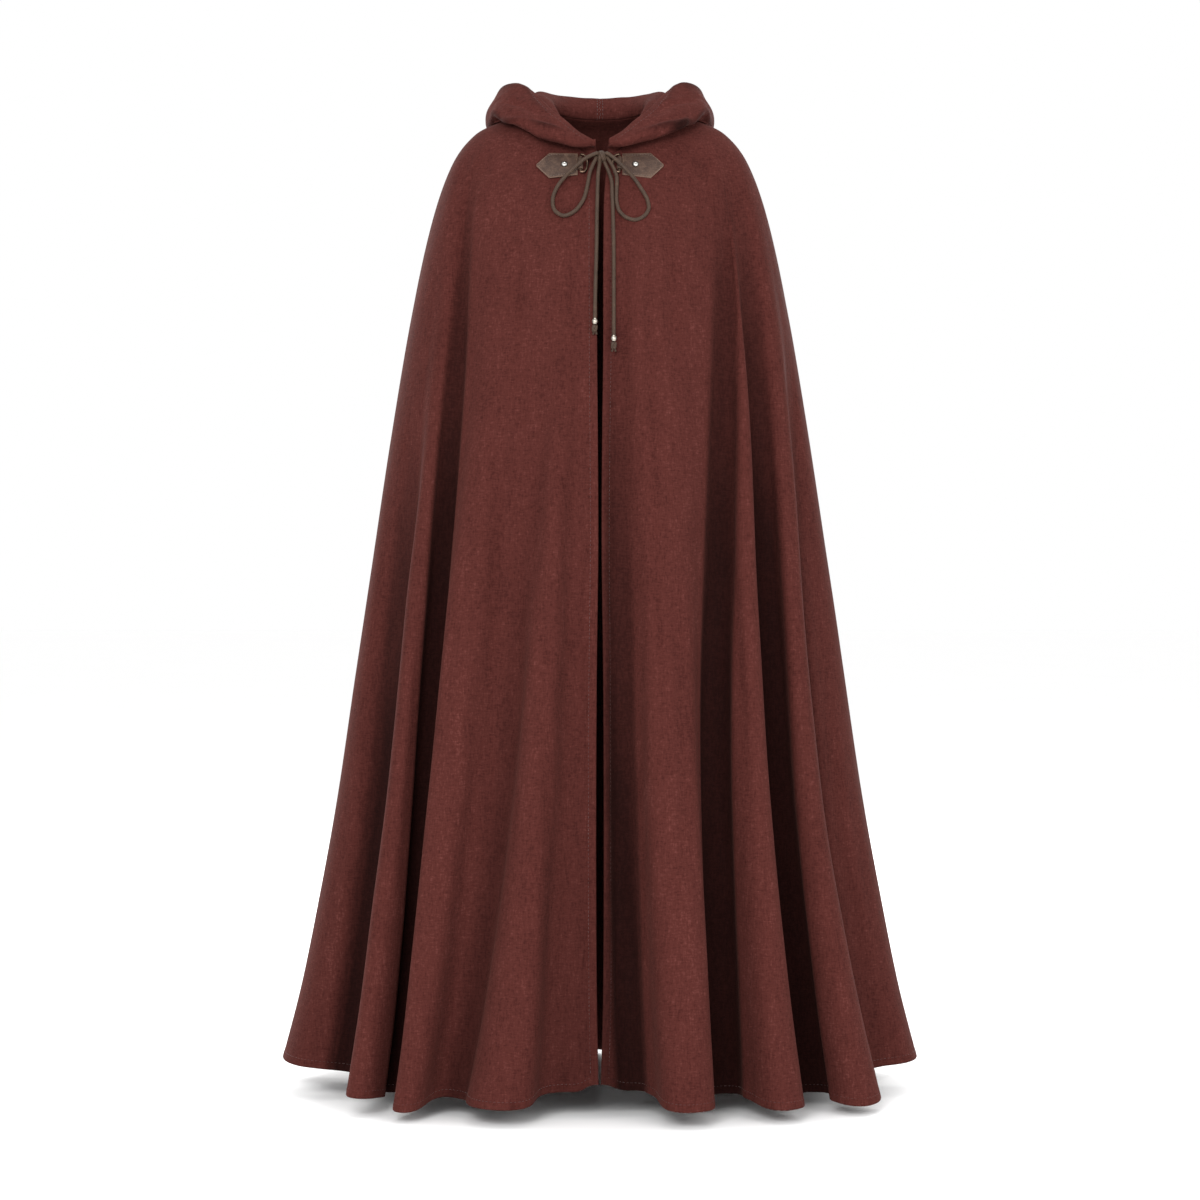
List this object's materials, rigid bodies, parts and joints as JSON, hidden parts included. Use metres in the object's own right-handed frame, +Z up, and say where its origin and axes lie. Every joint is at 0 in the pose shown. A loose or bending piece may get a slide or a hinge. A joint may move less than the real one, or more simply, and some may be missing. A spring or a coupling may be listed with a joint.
{
  "type": "hooded cloak",
  "caption": "Full-length hooded cloak, filled out as worn with its hood down, open in front and tied at the neck with a leather lace between riveted tabs.",
  "frame": {"origin": "middle of the neck's base, at the level where the cloak lies on the shoulders", "axes": "+Z up, -Y out of the front, +X to the right of a front view"},
  "size_m": [0.9178, 0.6484, 1.4569],
  "materials": {
    "cloth": "dark reddish-brown suede-like cloth with a soft nap",
    "tab_leather": "dark brown smooth leather, edge stitched",
    "lace_leather": "round brown leather lace",
    "bright_metal": "polished silver-coloured metal",
    "dark_metal": "antiqued bronze-coloured wire"
  },
  "bodies": {
    "root": {"cloak_front_left": "cloth", "cloak_front_right": "cloth", "cloak_back": "cloth", "hood_left": "cloth", "hood_right": "cloth", "tab_left": "tab_leather", "tab_right": "tab_leather", "keeper_left": "tab_leather", "keeper_right": "tab_leather", "rivet_left": "bright_metal", "rivet_right": "bright_metal", "ring_left": "dark_metal", "ring_right": "dark_metal", "lace_knot": "lace_leather", "lace_span_left": "lace_leather", "lace_span_right": "lace_leather", "lace_loop_left": "lace_leather", "lace_loop_right": "lace_leather", "lace_tail_left": "lace_leather", "lace_tail_right": "lace_leather", "bead_left": "bright_metal", "bead_right": "bright_metal", "end_knot_left": "lace_leather", "end_knot_right": "lace_leather"}
  },
  "joints": []
}
